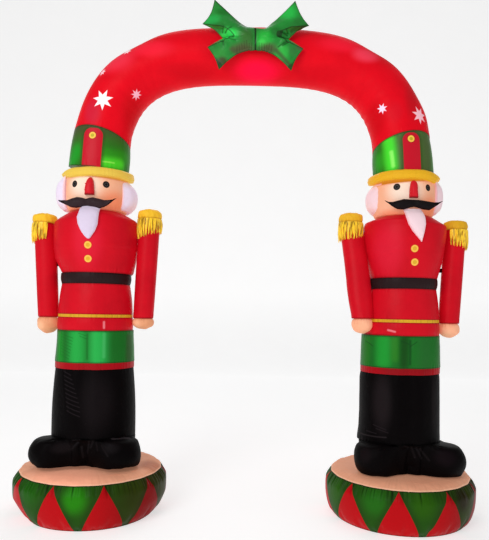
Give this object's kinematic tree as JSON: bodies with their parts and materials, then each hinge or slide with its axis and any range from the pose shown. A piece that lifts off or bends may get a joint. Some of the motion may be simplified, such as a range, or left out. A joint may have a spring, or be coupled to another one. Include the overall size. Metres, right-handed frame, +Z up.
{
  "type": "inflatable arch",
  "caption": "Free-standing inflatable archway: a red air-filled tube with a green bow, carried by toy soldier figures that stand on drums at its feet.",
  "frame": {"origin": "on the floor midway between the two drums, at the centre of the footprint", "axes": "+Z up; +X along the arch to the viewer's right; -Y towards the viewer, the side that the figures face"},
  "size_m": [2.776, 0.896, 3.027],
  "materials": {
    "red_cloth": "satin polyester, lit from inside, slightly pinkish glow",
    "green_cloth": "satin polyester, glossy highlights",
    "yellow_cloth": "satin polyester, golden yellow",
    "black_cloth": "satin polyester, near black",
    "skin_cloth": "satin polyester, peach",
    "white_cloth": "white polyester with a lilac tinge",
    "tan_cloth": "matt polyester, light brown",
    "gold_fringe": "soft shiny yarn strands"
  },
  "bodies": {
    "root": {"arch_tube": "red_cloth", "bow": "green_cloth", "left_drum_wall": "red_cloth", "left_drum_head": "tan_cloth", "left_shoes": "black_cloth", "left_boot_shaft": "black_cloth", "left_boot_cuff": "red_cloth", "left_trousers": "green_cloth", "left_coat_hem": "red_cloth", "left_coat_trim": "yellow_cloth", "left_coat_skirt": "red_cloth", "left_belt": "black_cloth", "left_coat_chest": "red_cloth", "left_outer_arm": "red_cloth", "left_inner_arm": "red_cloth", "left_outer_hand": "skin_cloth", "left_inner_hand": "skin_cloth", "left_outer_epaulette_cap": "yellow_cloth", "left_inner_epaulette_cap": "yellow_cloth", "left_outer_epaulette_fringe": "gold_fringe", "left_inner_epaulette_fringe": "gold_fringe", "left_arm_tie": "black_cloth", "left_face": "skin_cloth", "left_hair": "white_cloth", "left_nose": "red_cloth", "left_moustache": "black_cloth", "left_beard": "white_cloth", "left_hat_brim": "yellow_cloth", "left_hat_band": "green_cloth", "right_drum_wall": "red_cloth", "right_drum_head": "tan_cloth", "right_shoes": "black_cloth", "right_boot_shaft": "black_cloth", "right_boot_cuff": "red_cloth", "right_trousers": "green_cloth", "right_coat_hem": "red_cloth", "right_coat_trim": "yellow_cloth", "right_coat_skirt": "red_cloth", "right_belt": "black_cloth", "right_coat_chest": "red_cloth", "right_outer_arm": "red_cloth", "right_inner_arm": "red_cloth", "right_outer_hand": "skin_cloth", "right_inner_hand": "skin_cloth", "right_outer_epaulette_cap": "yellow_cloth", "right_inner_epaulette_cap": "yellow_cloth", "right_outer_epaulette_fringe": "gold_fringe", "right_inner_epaulette_fringe": "gold_fringe", "right_arm_tie": "black_cloth", "right_face": "skin_cloth", "right_hair": "white_cloth", "right_nose": "red_cloth", "right_moustache": "black_cloth", "right_beard": "white_cloth", "right_hat_brim": "yellow_cloth", "right_hat_band": "green_cloth"}
  },
  "joints": []
}
